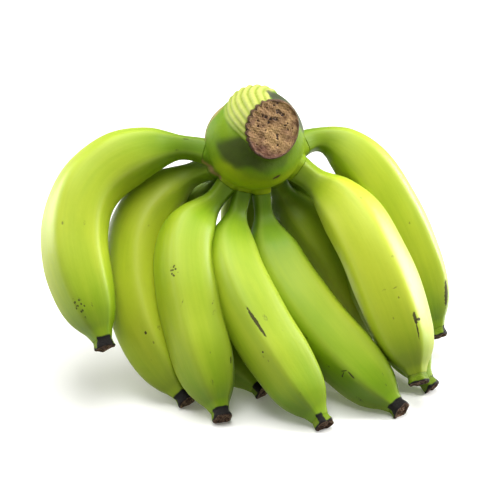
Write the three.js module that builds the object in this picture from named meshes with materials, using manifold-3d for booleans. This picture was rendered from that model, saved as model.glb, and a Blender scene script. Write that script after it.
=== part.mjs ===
// A cut hand of green plantains, standing on its blossom ends: a crown with its cut stub, and
// eleven curved fingers in two rows, which all bend toward the side that faced up on the plant.
// Millimetres, +Z up. X runs across the hand, and the cut stub leans out over -Y.

import * as THREE from "three";
import Module from "manifold-3d";

const wasm = await Module();
wasm.setup();

const skin = new THREE.MeshStandardMaterial({ color: 0xa3c030, roughness: 0.42, metalness: 0 });
const crownSkin = new THREE.MeshStandardMaterial({ color: 0x8fae38, roughness: 0.5, metalness: 0 });
const callus = new THREE.MeshStandardMaterial({ color: 0x9a7448, roughness: 0.85, metalness: 0 });
const driedFlower = new THREE.MeshStandardMaterial({ color: 0x4a3a2b, roughness: 0.9, metalness: 0 });

const FOOTPRINT = { x: 0, y: -4 }; // middle of the ground that the hand covers
const GAP = 0.3; // between pieces that touch
const FACET = 24; // degrees round a finger between the points of its section

// The crown is a ball with a cut stub. The necks leave it round the fan's own axis.
const CROWN = {
  ball: new THREE.Vector3(3.3, 26.7, 151.1),
  fanMiddle: new THREE.Vector3(4, 26, 149.5),
  fan: { turn: 8, lift: 20 }, // axes in degrees: from -Y toward +X, and above the horizontal
  stub: { turn: 25.5, lift: 28 },
  cut: { turn: 30, lift: 6 }, // the way that the slanting cut faces
  pedicel: 14, // length of the stalk in the crown that each neck goes on from
  flutes: 8,
  fluteDepth: 1.3,
  flat: { clock: 120, width: 25, depth: 3.6 }, // the flatter upper left of the ball
  fluteFoot: [54, 132], // degrees round the stub that the flutes cover at their foot
  fluteTop: [88, 200], // and at the cut
};

const FINGER = {
  root: 34, // distance of every neck's start from the middle of the crown
  startPull: 45, // how far the neck and the blossom end run on straight
  endPull: 40,
  rings: 26,
  blossom: 6,
};

// A finger's radius, from its neck over its shoulder and belly to its blossom end.
const GIRTH = [
  [0, 8.2],
  [0.05, 7.5],
  [0.09, 8],
  [0.13, 10.5],
  [0.18, 14.2],
  [0.26, 17.8],
  [0.36, 19.4],
  [0.5, 20],
  [0.64, 20],
  [0.75, 19.3],
  [0.84, 17.5],
  [0.9, 14.8],
  [0.94, 11.4],
  [0.97, 8],
  [1, 5.8],
];

// root: where the neck leaves the crown: degrees round the fan's axis, and millimetres along it
// leave: which way it leaves: degrees round the fan's axis, and degrees toward the cut
// belly, tip: the middle of the finger halfway along and at its blossom end, in millimetres
// end: the way the blossom end points, in degrees from -Y toward +X and below the horizontal
// girth, neck: thickness next to the usual; ridge: degrees that the five ridges are turned by
const FINGERS = {
  finger_front_1: {
    root: [188, -6],
    leave: [160, -10],
    belly: [-108, -3, 118],
    tip: [-90, -60, 42],
    end: [24, 50],
    girth: 1,
    neck: 1,
    ridge: -26,
  },
  finger_front_2: {
    root: [234, -6],
    leave: [232, -10],
    belly: [-41, -21, 79],
    tip: [-17, -81, 3.6],
    end: [17, 32],
    girth: 0.95,
    neck: 0.85,
    ridge: 3,
  },
  finger_front_3: {
    root: [253, -6],
    leave: [256, -5],
    belly: [-4, -31, 67],
    tip: [46, -89, 3.5],
    end: [31, 28],
    girth: 0.95,
    neck: 0.78,
    ridge: -8,
  },
  finger_front_4: {
    root: [275, -6],
    leave: [275, -15],
    belly: [33, -20, 56],
    tip: [95, -72, 4.6],
    end: [42, 19],
    girth: 0.98,
    neck: 0.76,
    ridge: -12,
  },
  finger_front_5: {
    root: [325, -4],
    leave: [322, 0],
    belly: [76, -11, 91],
    tip: [106, -61, 18],
    end: [18, 48],
    girth: 1.0,
    neck: 1.1,
    ridge: -15,
  },
  finger_back_1: {
    root: [208, -12],
    leave: [192, -33],
    belly: [-74.5, 1, 76.5],
    tip: [-39, -59, 4.1],
    end: [43, 30],
    girth: 1,
    neck: 1,
    ridge: -16,
  },
  finger_back_2: {
    root: [224, -24],
    leave: [225, -35],
    belly: [-40, 18, 60],
    tip: [9, -46, 4.1],
    end: [45, 20],
    girth: 0.9,
    neck: 0.9,
    ridge: 0,
  },
  finger_back_3: {
    root: [262, -26],
    leave: [262, -70],
    belly: [-2, 64, 66],
    tip: [-8, 34, 1.6],
    end: [10, 62],
    girth: 0.95,
    neck: 0.9,
    ridge: 0,
  },
  finger_back_4: {
    root: [300, -18],
    leave: [300, -45],
    belly: [50, 38, 68],
    tip: [80, 22, 2.1],
    end: [20, 55],
    girth: 0.92,
    neck: 0.9,
    ridge: 0,
  },
  finger_back_5: {
    root: [328, -24],
    leave: [318, -45],
    belly: [84, 22, 52],
    tip: [118, -39, 3.2],
    end: [48, 32],
    girth: 0.88,
    neck: 0.9,
    ridge: 0,
  },
  finger_back_6: {
    root: [355, -12],
    leave: [26, -20],
    belly: [94, 33, 101],
    tip: [127, 7, 18],
    end: [22, 48],
    girth: 0.95,
    neck: 1,
    ridge: 36,
  },
};

// The crown's outline: distance from the stub's axis, and height along it, from back to cut.
const CROWN_OUTLINE = [
  [8, -30],
  [17, -27],
  [25, -21],
  [30, -13.5],
  [32.6, -4],
  [33.2, 2],
  [32.3, 7],
  [29.5, 12],
  [25.4, 16],
  [22.4, 20],
  [20, 24],
  [19, 28.5],
];

const radians = THREE.MathUtils.degToRad;
const { lerp, smoothstep } = THREE.MathUtils;

// A unit vector that points turn degrees from -Y toward +X, and lift degrees above the horizontal.
function pointing(turn, lift) {
  const level = Math.cos(radians(lift));
  return new THREE.Vector3(
    level * Math.sin(radians(turn)),
    -level * Math.cos(radians(turn)),
    Math.sin(radians(lift)),
  );
}

// A frame in the crown: Z along an axis, X level and Y up.
function crownFrame({ turn, lift }, middle) {
  const out = pointing(turn, lift);
  const right = new THREE.Vector3(Math.cos(radians(turn)), Math.sin(radians(turn)), 0);
  const up = new THREE.Vector3().crossVectors(out, right);
  return new THREE.Matrix4().makeBasis(right, up, out).setPosition(middle);
}

const fanFrame = crownFrame(CROWN.fan, CROWN.fanMiddle);
const stubFrame = crownFrame(CROWN.stub, CROWN.ball);
const cutFrame = crownFrame(CROWN.cut, CROWN.ball);

// A place in a crown frame: degrees round its axis, distance from it and height along it.
function round(angle, distance, height) {
  return new THREE.Vector3(
    distance * Math.cos(radians(angle)),
    distance * Math.sin(radians(angle)),
    height,
  );
}

// A smooth curve that five points pull, and that passes through the belly halfway along.
class FingerLine extends THREE.Curve {
  constructor(finger) {
    super();
    const [clock, height] = finger.root;
    const [way, lean] = finger.leave;
    const leaving = round(way, Math.cos(radians(lean)), Math.sin(radians(lean)));
    this.start = leaving.transformDirection(fanFrame);
    this.end = pointing(finger.end[0], -finger.end[1]);
    const root = round(clock, Math.sqrt(FINGER.root ** 2 - height ** 2), height);
    root.applyMatrix4(fanFrame);
    const tip = new THREE.Vector3(...finger.tip);
    const neck = root.clone().addScaledVector(this.start, FINGER.startPull);
    const taper = tip.clone().addScaledVector(this.end, -FINGER.endPull);
    const belly = new THREE.Vector3(...finger.belly)
      .multiplyScalar(16)
      .sub(root)
      .addScaledVector(neck, -4)
      .addScaledVector(taper, -4)
      .sub(tip)
      .divideScalar(6);
    this.points = [root, neck, belly, taper, tip];
    this.bend = new THREE.Vector3().crossVectors(this.start, this.end).normalize();
  }

  getPoint(t, target = new THREE.Vector3()) {
    let points = this.points;
    while (points.length > 1) points = points.slice(1).map((p, i) => points[i].clone().lerp(p, t));
    return target.copy(points[0]);
  }

  // One ring of the finger's skin at a distance along it, which may lie just beyond its ends.
  ring(distance, radius, ridge) {
    const length = this.getLength();
    const share = THREE.MathUtils.clamp(distance / length, 0, 1);
    const along = this.getTangentAt(share);
    const outer = new THREE.Vector3().crossVectors(along, this.bend).normalize();
    const across = new THREE.Vector3().crossVectors(along, outer);
    const centre = this.getPointAt(share).addScaledVector(along, distance - share * length);
    const ring = [];
    for (let turn = FACET / 2; turn < 360; turn += FACET) {
      const reach = radius * ridged(turn);
      ring.push(
        centre
          .clone()
          .addScaledVector(outer, reach * Math.cos(radians(turn + ridge)))
          .addScaledVector(across, reach * Math.sin(radians(turn + ridge))),
      );
    }
    return ring;
  }
}

// The reach of a section with five soft ridges, which is 1 at the middle of its faces.
function ridged(angle, sharpness = 5) {
  let sum = 0;
  for (let face = 0; face < 360; face += 72)
    sum += Math.max(0, Math.cos(radians(angle - face))) ** sharpness;
  return sum ** (-1 / sharpness);
}

// A solid from rings of points round it, which all have the same number of points.
function solidOver(rings) {
  const sides = rings[0].length;
  const middle = (ring) =>
    ring.reduce((sum, p) => sum.add(p), new THREE.Vector3()).divideScalar(sides);
  const points = [...rings.flat(), middle(rings[0]), middle(rings.at(-1))];
  const first = points.length - 2;
  const index = [];
  for (let j = 0; j < sides; j++) {
    const next = (j + 1) % sides;
    for (let i = 0; i + 1 < rings.length; i++) {
      const a = i * sides + j;
      const b = i * sides + next;
      index.push(a, b, a + sides, b, b + sides, a + sides);
    }
    index.push(first, next, j);
    index.push(first + 1, first - sides + j, first - sides + next);
  }
  const vertProperties = new Float32Array(points.flatMap((p) => [...p]));
  const triVerts = new Uint32Array(index);
  return new wasm.Manifold(new wasm.Mesh({ numProp: 3, vertProperties, triVerts }));
}

// The largest body of a solid, without what lies below the ground.
function onGround(solid) {
  const bodies = solid.trimByPlane([0, 0, 1], 0).decompose();
  return bodies.reduce((a, b) => (b.volume() > a.volume() ? b : a));
}

// A finger from its neck to its blossom end, larger by extra all round.
function fingerSolid(line, finger, extra = 0) {
  const outline = new THREE.SplineCurve(GIRTH.map((point) => new THREE.Vector2(...point)));
  const length = line.getLength() - FINGER.blossom;
  const rings = outline.getPoints(FINGER.rings).map(({ x, y }) => {
    const girth = lerp(finger.neck, finger.girth, smoothstep(x, 0.05, 0.25));
    const beyond = extra * ((x === 1) - (x === 0));
    return line.ring(x * length + beyond, y * girth + extra, finger.ridge);
  });
  return solidOver(rings);
}

// The stalk inside the crown that a finger's neck goes on from.
function pedicelSolid(line, finger, extra = 0) {
  const radius = GIRTH[0][1] * finger.neck + extra;
  return solidOver([
    line.ring(-CROWN.pedicel, radius * 1.15, finger.ridge),
    line.ring(-CROWN.pedicel / 3, radius * 1.1, finger.ridge),
    line.ring(extra, radius, finger.ridge),
  ]);
}

// The dried rest of the flower on a finger's end, larger by extra all round.
function blossomSolid(line, finger, extra = 0) {
  const length = line.getLength();
  const nub = GIRTH.at(-1)[1] * finger.girth;
  const outline = [
    [length - FINGER.blossom + GAP - extra, nub],
    [length - FINGER.blossom * 0.7, nub * 1.08],
    [length - FINGER.blossom * 0.25, nub * 1.02],
    [length + extra, nub * 0.82],
  ];
  return solidOver(outline.map(([at, radius]) => line.ring(at, radius + extra, finger.ridge)));
}

// A place on the stub: degrees round it, distance from its axis and height along it. Toward the cut
// the rings turn to face as the cut does, and beyond is how far out of the cut a place lies.
function onStub(angle, distance, height, beyond = 0) {
  const turned = smoothstep(height, 14, CROWN_OUTLINE.at(-1)[1]);
  const place = round(angle, distance, 0);
  const slanted = place.clone().applyMatrix4(cutFrame);
  return place
    .applyMatrix4(stubFrame)
    .lerp(slanted, turned)
    .addScaledVector(pointing(CROWN.stub.turn, CROWN.stub.lift), height)
    .addScaledVector(pointing(CROWN.cut.turn, CROWN.cut.lift), beyond);
}

// How far the ball falls short of round at an angle.
function flatAt(angle) {
  const { clock, width, depth } = CROWN.flat;
  return depth * Math.exp(-(((angle - clock) / width) ** 2));
}

// A ring round the stub at one of its heights, with leaning flutes up its back left.
function stubRing(radius, height, extra, beyond = 0) {
  const [foot, top] = [CROWN_OUTLINE[6], CROWN_OUTLINE.at(-1)];
  const share = THREE.MathUtils.clamp((height - foot[1]) / (top[1] - foot[1]), 0, 1);
  const from = lerp(CROWN.fluteFoot[0], CROWN.fluteTop[0], share);
  const to = lerp(CROWN.fluteFoot[1], CROWN.fluteTop[1], share);
  const flattened = smoothstep(height, -26, -8) * (1 - smoothstep(height, 10, 24));
  const ring = [];
  for (let step = 0; step < 36; step++) {
    const inside = step / 36;
    const angle = lerp(from, to, inside);
    const fluted = smoothstep(height, 1, 9) * Math.sin(Math.PI * inside) ** 0.5;
    const flute = CROWN.fluteDepth * Math.cos(2 * Math.PI * CROWN.flutes * inside);
    const rounded = radius - flattened * flatAt(angle);
    const full = lerp(foot[0] + lerp(3.4, -1.5, inside), top[0], share);
    const reach = lerp(rounded, Math.max(rounded, full) + flute, fluted) + extra;
    ring.push(onStub(angle, reach, height, beyond));
  }
  for (let step = 0; step < 27; step++) {
    const angle = lerp(to, from + 360, step / 27);
    ring.push(onStub(angle, radius - flattened * flatAt(angle) + extra, height, beyond));
  }
  return ring;
}

// The crown's ball and stub, larger by extra all round.
function crownSolid(extra = 0) {
  return solidOver(CROWN_OUTLINE.map(([radius, height]) => stubRing(radius, height, extra)));
}

// The dried brown skin over the cut.
function callusSolid() {
  const [radius, top] = CROWN_OUTLINE.at(-1);
  return solidOver([
    stubRing(radius, top, -0.5, GAP),
    stubRing(radius, top, 0, 1),
    stubRing(radius, top, -1.5, 1.8),
  ]);
}

const hand = new THREE.Group();
hand.position.set(-FOOTPRINT.x, -FOOTPRINT.y, 0);

function add(name, solid, material) {
  const { vertProperties, triVerts } = solid.getMesh();
  const geometry = new THREE.BufferGeometry()
    .setAttribute("position", new THREE.Float32BufferAttribute(vertProperties, 3))
    .setIndex([...triVerts]);
  geometry.computeVertexNormals();
  const mesh = new THREE.Mesh(geometry, material);
  mesh.name = name;
  hand.add(mesh);
}

let crown = crownSolid();
let taken = crownSolid(GAP);
const lines = new Map();
for (const [name, finger] of Object.entries(FINGERS)) {
  const line = new FingerLine(finger);
  lines.set(name, line);
  crown = crown.add(pedicelSolid(line, finger));
  taken = taken.add(pedicelSolid(line, finger, GAP));
}
add("crown", onGround(crown), crownSkin);
add("crown_cut", callusSolid(), callus);

// Each finger gives way where an earlier one presses on it.
for (const [name, finger] of Object.entries(FINGERS)) {
  const line = lines.get(name);
  const blossom = blossomSolid(line, finger);
  add(name, onGround(fingerSolid(line, finger).subtract(taken)), skin);
  add(name.replace("finger", "blossom_end"), onGround(blossom.subtract(taken)), driedFlower);
  taken = taken.add(fingerSolid(line, finger, GAP)).add(blossomSolid(line, finger, GAP));
}

export default hand;
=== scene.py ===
"""A cut hand of green plantains, dressed for a studio picture.

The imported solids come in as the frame. Every one of them is replaced by a finer piece that follows the
same formulas: eleven fingers round a bent line, the dried flower rests on their ends, the crown with its
fluted stub, and the cut. Sizes are in metres and angles in degrees. The frame's axes are +Z up, +X across
the hand, and -Y toward the viewer.
"""

import logging
from dataclasses import dataclass, field
from enum import Enum
from typing import Any, Sequence

import bpy
import numpy as np
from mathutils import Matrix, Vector

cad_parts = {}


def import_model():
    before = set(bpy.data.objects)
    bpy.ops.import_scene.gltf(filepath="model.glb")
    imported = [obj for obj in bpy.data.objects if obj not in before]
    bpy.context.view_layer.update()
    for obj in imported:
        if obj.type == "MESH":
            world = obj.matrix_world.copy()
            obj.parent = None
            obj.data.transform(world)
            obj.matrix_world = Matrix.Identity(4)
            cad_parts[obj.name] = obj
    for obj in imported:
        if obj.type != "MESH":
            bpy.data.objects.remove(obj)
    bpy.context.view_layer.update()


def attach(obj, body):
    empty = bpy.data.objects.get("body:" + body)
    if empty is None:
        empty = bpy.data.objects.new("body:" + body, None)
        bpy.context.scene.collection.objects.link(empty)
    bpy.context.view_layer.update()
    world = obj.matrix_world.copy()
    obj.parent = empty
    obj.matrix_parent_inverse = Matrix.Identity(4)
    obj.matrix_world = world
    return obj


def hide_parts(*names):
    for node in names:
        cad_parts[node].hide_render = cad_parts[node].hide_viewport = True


log = logging.getLogger("plantain_hand")

MM = 0.001
HAND = Vector((0.0, 0.004, 0.0))  # where the middle of the modelled hand stands in the frame
RANDOM_SEED = 11
RIPPLE_WAVES = 7

Pair = tuple[float, float]
Triple = tuple[float, float, float]
Colour = tuple[float, float, float]
Window = tuple[float, float, float, float]


def pointing(turn: float, lift: float) -> np.ndarray:
    """The unit vector that points turn degrees from -Y toward +X, and lift degrees above the horizontal."""
    turn, lift = np.radians([turn, lift])
    return np.array([np.cos(lift) * np.sin(turn), -np.cos(lift) * np.cos(turn), np.sin(lift)])


def smoothstep(low: float, high: float, at: np.ndarray) -> np.ndarray:
    """0 below low, 1 above high, and a smooth rise between them."""
    part = np.clip((at - low) / (high - low), 0.0, 1.0)
    return part * part * (3.0 - 2.0 * part)


def window(at: np.ndarray, edges: Window) -> np.ndarray:
    """1 between the two middle edges, 0 past the outer ones, and smooth between them."""
    return smoothstep(edges[0], edges[1], at) * smoothstep(edges[3], edges[2], at)


def unit(vectors: np.ndarray) -> np.ndarray:
    """The same vectors with length 1."""
    return vectors / np.linalg.norm(vectors, axis=-1, keepdims=True)


def ridged(angle: np.ndarray, sharpness: float | np.ndarray) -> np.ndarray:
    """The reach of a section with five soft ridges.

    It is the sum, over the five faces, of the face's cosine (where positive) to the power of sharpness, all
    to the power of minus one over sharpness: 1 at the middle of a face, and more at a ridge.

    Args:
        angle: radians round the section, from the middle of a face.
        sharpness: 4 for nearly round, 14 for sharp ridges.

    Returns:
        The reach for each angle.
    """
    faces = np.radians(np.arange(5) * 72.0)
    cosines = np.maximum(0.0, np.cos(angle[..., None] - faces))
    power = np.asarray(sharpness)[..., None]
    return (cosines**power).sum(-1) ** (-1.0 / np.asarray(sharpness))


def ripple(places: np.ndarray, seed: int, scale: float) -> np.ndarray:
    """A smooth random value between about -1 and 1 at each place.

    It is 0.8 of the sum of sine waves in random directions, over the square root of their number.

    Args:
        places: points, with x, y and z along the last axis.
        seed: which waves are drawn.
        scale: the length of a wave.

    Returns:
        One value for each place.
    """
    draw = np.random.default_rng(seed)
    ways = unit(draw.normal(size=(RIPPLE_WAVES, 3))) * (2.0 * np.pi / scale)
    ways = ways * draw.uniform(0.7, 1.4, (RIPPLE_WAVES, 1))
    shifts = draw.uniform(0.0, 2.0 * np.pi, RIPPLE_WAVES)
    return np.sin(places @ ways.T + shifts).sum(-1) / np.sqrt(RIPPLE_WAVES) * 0.8


@dataclass(frozen=True)
class CrownFrame:
    """A frame in the crown: Z along an axis, X level and Y up.

    Args:
        turn: degrees from -Y toward +X of the axis.
        lift: degrees of the axis above the horizontal.
        centre: its origin, in the hand's own frame.
    """

    turn: float
    lift: float
    centre: Triple = (0.0033, 0.0267, 0.1511)

    @property
    def axes(self) -> np.ndarray:
        """The frame's X, Y and Z as three rows."""
        out = pointing(self.turn, self.lift)
        right = np.array([np.cos(np.radians(self.turn)), np.sin(np.radians(self.turn)), 0.0])
        return np.stack([right, np.cross(out, right), out])

    def place(self, local: np.ndarray) -> np.ndarray:
        """Points of this frame, in the hand's own frame."""
        return local @ self.axes + self.centre

    def local(self, places: np.ndarray) -> np.ndarray:
        """Points of the hand's own frame, in this frame."""
        return (places - self.centre) @ self.axes.T


FAN = CrownFrame(turn=8.0, lift=20.0, centre=(0.004, 0.026, 0.1495))  # the fingers spread round its axis
STUB = CrownFrame(turn=25.5, lift=28.0)  # the ball and the stub lie along its axis
CUT = CrownFrame(turn=30.0, lift=6.0)  # its axis is square to the cut
ROOT_REACH = 0.034  # from the fan's centre to where a neck begins
START_PULL = 0.045  # how far along a neck's own way its middle line is pulled
END_PULL = 0.040  # the same at the blossom end
BLOSSOM_LENGTH = 0.006
PEDICEL_LENGTH = 0.014  # of a neck, inside the crown
CHAR_REACH = 0.0026  # how much nearer the neck a finger's end turns black in its patch than beside it
CHAR_OFFSET = 0.0013  # how far past the given line the black begins beside the patch
BLACK_RIM = 0.0032  # that line on a blossom end, past the peel's end; on the peel it is the end itself

# A finger's radius in millimetres at shares of its length, from its neck to its blossom end.
GIRTH = (
    (0.0, 8.2),
    (0.05, 7.5),
    (0.09, 8.0),
    (0.13, 10.5),
    (0.18, 14.2),
    (0.26, 17.8),
    (0.36, 19.4),
    (0.5, 20.0),
    (0.64, 20.0),
    (0.75, 19.3),
    (0.84, 17.5),
    (0.9, 14.8),
    (0.94, 11.4),
    (0.97, 8.0),
    (1.0, 5.8),
)


def spline_through(points: Sequence[Pair], count: int) -> np.ndarray:
    """Points on the Catmull-Rom curve through 2-D points, evenly spread over its parameter.

    Each span is the cubic that leaves and arrives along half the step between its neighbours.

    Args:
        points: the points that the curve passes through.
        count: how many points are wanted.

    Returns:
        One point a row.
    """
    given = np.array(points)
    at = np.linspace(0.0, len(given) - 1.0, count)
    span = np.minimum(at.astype(int), len(given) - 2)
    part = (at - span)[:, None]
    before, here, there, after = (given[np.clip(span + k, 0, len(given) - 1)] for k in (-1, 0, 1, 2))
    leave, arrive = (there - before) / 2.0, (after - here) / 2.0
    cube = 2.0 * here - 2.0 * there + leave + arrive
    square = -3.0 * here + 3.0 * there - 2.0 * leave - arrive
    return cube * part**3 + square * part**2 + leave * part + here


class Row(Enum):
    """The two rows in which the fingers grow."""

    FRONT = "front"
    BACK = "back"


class MarkKind(Enum):
    """What a blemish on the peel looks like."""

    SCAR = "scar"
    SPECKS = "specks"
    SCUFF = "scuff"


@dataclass(frozen=True)
class Mark:
    """A blemish on a finger's peel.

    Args:
        kind: what it looks like.
        along: how far it lies from the neck, as a share of the finger's length.
        around: degrees round the finger, from its outer side.
        length: its size along its own direction, in metres.
        width: its size across that, in metres.
        turn: degrees by which its direction leans from the finger's.
    """

    kind: MarkKind
    along: float
    around: float
    length: float
    width: float
    turn: float = 0.0


def mesh_object(
    name: str,
    vertices: np.ndarray,
    quads: np.ndarray,
    triangles: np.ndarray | None = None,
    smooth: bool = True,
) -> bpy.types.Object:
    """Makes a mesh object at the origin from whole arrays.

    Args:
        name: the object's name.
        vertices: one place a row.
        quads: four vertex numbers a row.
        triangles: three vertex numbers a row, if there are any.
        smooth: whether its faces are shaded smoothly.

    Returns:
        The new object, linked to the scene.
    """
    triangles = np.empty((0, 3), int) if triangles is None else triangles
    loops = np.concatenate([quads.ravel(), triangles.ravel()])
    sizes = np.repeat([4, 3], [len(quads), len(triangles)])
    mesh = bpy.data.meshes.new(name)
    mesh.vertices.add(len(vertices))
    mesh.vertices.foreach_set("co", vertices.ravel())
    mesh.loops.add(len(loops))
    mesh.loops.foreach_set("vertex_index", loops)
    mesh.polygons.add(len(sizes))
    mesh.polygons.foreach_set("loop_start", np.cumsum(sizes) - sizes)
    mesh.polygons.foreach_set("use_smooth", np.full(len(sizes), smooth))
    mesh.update(calc_edges=True)
    piece = bpy.data.objects.new(name, mesh)
    bpy.context.scene.collection.objects.link(piece)
    return piece


def closed_skin(name: str, rings: np.ndarray) -> bpy.types.Object:
    """Makes a closed body from rings of points, with a fan over each end.

    Args:
        name: the object's name.
        rings: an array of rings, points and coordinates, in order along the body.

    Returns:
        The new object. Its last two vertices are the middles of its ends.
    """
    count, sides = rings.shape[:2]
    here = np.arange(count * sides).reshape(count, sides)
    beside = np.roll(here, -1, axis=1)
    quads = np.stack([here[:-1], beside[:-1], beside[1:], here[1:]], -1).reshape(-1, 4)
    first = np.full(sides, count * sides)
    start = np.stack([first, beside[0], here[0]], -1)
    stop = np.stack([first + 1, here[-1], beside[-1]], -1)
    vertices = np.concatenate([rings.reshape(-1, 3), rings[[0, -1]].mean(1)])
    return mesh_object(name, vertices, quads, np.concatenate([start, stop]))


def give(piece: bpy.types.Object, name: str, values: np.ndarray) -> None:
    """Stores a number or a vector for each vertex, for the materials to read.

    Args:
        piece: the mesh object.
        name: the attribute's name.
        values: one number or three numbers a vertex.
    """
    kind, key = ("FLOAT_VECTOR", "vector") if values.ndim > 1 else ("FLOAT", "value")
    layer = piece.data.attributes.new(name, kind, "POINT")
    layer.data.foreach_set(key, values.astype(np.float32).ravel())


def stands_for(piece: bpy.types.Object, node: str) -> None:
    """Hands a finished piece to the frame in place of a solid.

    Args:
        piece: the finished piece.
        node: the solid's node.
    """
    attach(piece, "root")
    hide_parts(node)


def srgb(red: int, green: int, blue: int) -> Colour:
    """A colour from 0 to 255 a channel, as linear light.

    Args:
        red: its red.
        green: its green.
        blue: its blue.

    Returns:
        The colour, from 0 to 1 a channel.
    """
    shares = np.array([red, green, blue]) / 255.0
    linear = np.where(shares <= 0.04045, shares / 12.92, ((shares + 0.055) / 1.055) ** 2.4)
    return tuple(float(part) for part in linear)


class Value:
    """A number or vector on a shader socket, which plain arithmetic turns into math nodes."""

    def __init__(self, shader: "Shader", socket: bpy.types.NodeSocket) -> None:
        """Wraps a socket of a shader."""
        self.shader = shader
        self.socket = socket

    def _math(self, operation: str, *values: Any) -> "Value":
        """A math node over these values."""
        return self.shader.make("ShaderNodeMath", {"operation": operation}, dict(enumerate(values)))

    def __add__(self, other: Any) -> "Value":
        """The sum."""
        return self._math("ADD", self, other)

    def __sub__(self, other: Any) -> "Value":
        """The difference."""
        return self._math("SUBTRACT", self, other)

    def __rsub__(self, other: Any) -> "Value":
        """The difference, from a plain number."""
        return self._math("SUBTRACT", other, self)

    def __mul__(self, other: Any) -> "Value":
        """The product."""
        return self._math("MULTIPLY", self, other)

    def __pow__(self, other: Any) -> "Value":
        """The power."""
        return self._math("POWER", self, other)

    __radd__ = __add__
    __rmul__ = __mul__

    def rise(self, low: float, high: float) -> "Value":
        """0 at low and 1 at high, with a smooth rise or fall between them.

        Args:
            low: where it is 0.
            high: where it is 1, which may lie below low.

        Returns:
            The value from 0 to 1.
        """
        if low > high:
            return 1.0 - self.rise(high, low)
        settings = {"interpolation_type": "SMOOTHSTEP"}
        return self.shader.make("ShaderNodeMapRange", settings, {0: self, 1: low, 2: high})


class Shader:
    """A material under construction, with its principled shader."""

    def __init__(self, name: str) -> None:
        """Starts an empty material.

        Args:
            name: the material's name.
        """
        self.material = bpy.data.materials.new(name)
        self.material.use_nodes = True
        self.tree = self.material.node_tree
        self.tree.nodes.clear()
        output = self.tree.nodes.new("ShaderNodeOutputMaterial")
        self.surface = self.tree.nodes.new("ShaderNodeBsdfPrincipled")
        self.tree.links.new(self.surface.outputs[0], output.inputs[0])

    def make(
        self,
        kind: str,
        settings: dict[str, Any] | None = None,
        values: dict[str | int, Any] | None = None,
        output: str | int = 0,
    ) -> Value:
        """Makes a node and returns one of its outputs.

        Args:
            kind: the node's type.
            settings: its properties by name.
            values: its inputs by name or number: a Value, or a plain number, vector or colour.
            output: which output is wanted.

        Returns:
            That output, ready for arithmetic.
        """
        node = self.tree.nodes.new(kind)
        for key, setting in (settings or {}).items():
            setattr(node, key, setting)
        for key, value in (values or {}).items():
            self.feed(node.inputs[key], value)
        return Value(self, node.outputs[output])

    def feed(self, socket: bpy.types.NodeSocket, value: Any) -> None:
        """Links a Value to a socket, or sets the socket to a plain number, vector or colour.

        Args:
            socket: the socket.
            value: what it gets.
        """
        if isinstance(value, Value):
            self.tree.links.new(value.socket, socket)
        elif isinstance(value, tuple) and socket.type == "RGBA":
            socket.default_value = (*value, 1.0)
        else:
            socket.default_value = value

    def stored(self, name: str, vector: bool = False) -> Value:
        """A number or vector that the mesh stores for each vertex."""
        output = "Vector" if vector else "Fac"
        return self.make("ShaderNodeAttribute", {"attribute_name": name}, output=output)

    def place(self) -> Value:
        """The place on the object."""
        return self.make("ShaderNodeTexCoord", output="Object")

    def stretched(self, vector: Value, scale: Triple, shift: Triple = (0.0, 0.0, 0.0)) -> Value:
        """A vector moved by shift and then scaled along each axis."""
        moved = self.make("ShaderNodeVectorMath", {"operation": "ADD"}, {0: vector, 1: shift})
        return self.make("ShaderNodeVectorMath", {"operation": "MULTIPLY"}, {0: moved, 1: scale})

    def noise(self, vector: Value, scale: float, detail: float = 2.0, rough: float = 0.5) -> Value:
        """Smooth noise from 0 to 1.

        Args:
            vector: where it is read.
            scale: how many of its cells fit in a unit.
            detail: octaves.
            rough: how strong the finer octaves are.

        Returns:
            The noise.
        """
        values = {"Vector": vector, "Scale": scale, "Detail": detail, "Roughness": rough}
        return self.make("ShaderNodeTexNoise", {}, values, output="Fac")

    def cells(self, vector: Value, scale: float) -> Value:
        """The distance to the nearest of scattered points, in cells."""
        return self.make("ShaderNodeTexVoronoi", {}, {"Vector": vector, "Scale": scale}, output="Distance")

    def length(self, vector: Value) -> Value:
        """The length of a vector."""
        return self.make("ShaderNodeVectorMath", {"operation": "LENGTH"}, {0: vector}, output="Value")

    def from_middle(self, vector: Value, middle: np.ndarray, way: np.ndarray) -> Value:
        """How far a vector lies from a middle along a way: its dot product with the way."""
        moved = self.make("ShaderNodeVectorMath", {"operation": "SUBTRACT"}, {0: vector, 1: tuple(middle)})
        values = {0: moved, 1: tuple(way)}
        return self.make("ShaderNodeVectorMath", {"operation": "DOT_PRODUCT"}, values, output="Value")

    def mix(self, part: Any, below: Any, above: Any) -> Value:
        """A colour between two colours: below at 0 and above at 1."""
        settings = {"data_type": "RGBA", "clamp_factor": True}
        return self.make("ShaderNodeMix", settings, {0: part, 6: below, 7: above}, output=2)

    def bump(self, height: Value, distance: float, strength: float = 1.0) -> Value:
        """A normal bent by a height from 0 to 1 that stands for so many metres."""
        values = {"Height": height, "Distance": distance, "Strength": strength}
        return self.make("ShaderNodeBump", {}, values)

    def finish(self, **values: Any) -> bpy.types.Material:
        """Sets the principled shader's inputs by name, with _ for a space, and returns the material."""
        for key, value in values.items():
            self.feed(self.surface.inputs[key.replace("_", " ")], value)
        return self.material


# How the light that enters the green skins softens.
FLESHY = {"Subsurface_Weight": 0.08, "Subsurface_Radius": (0.6, 1.0, 0.1), "Subsurface_Scale": 0.004}


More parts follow.
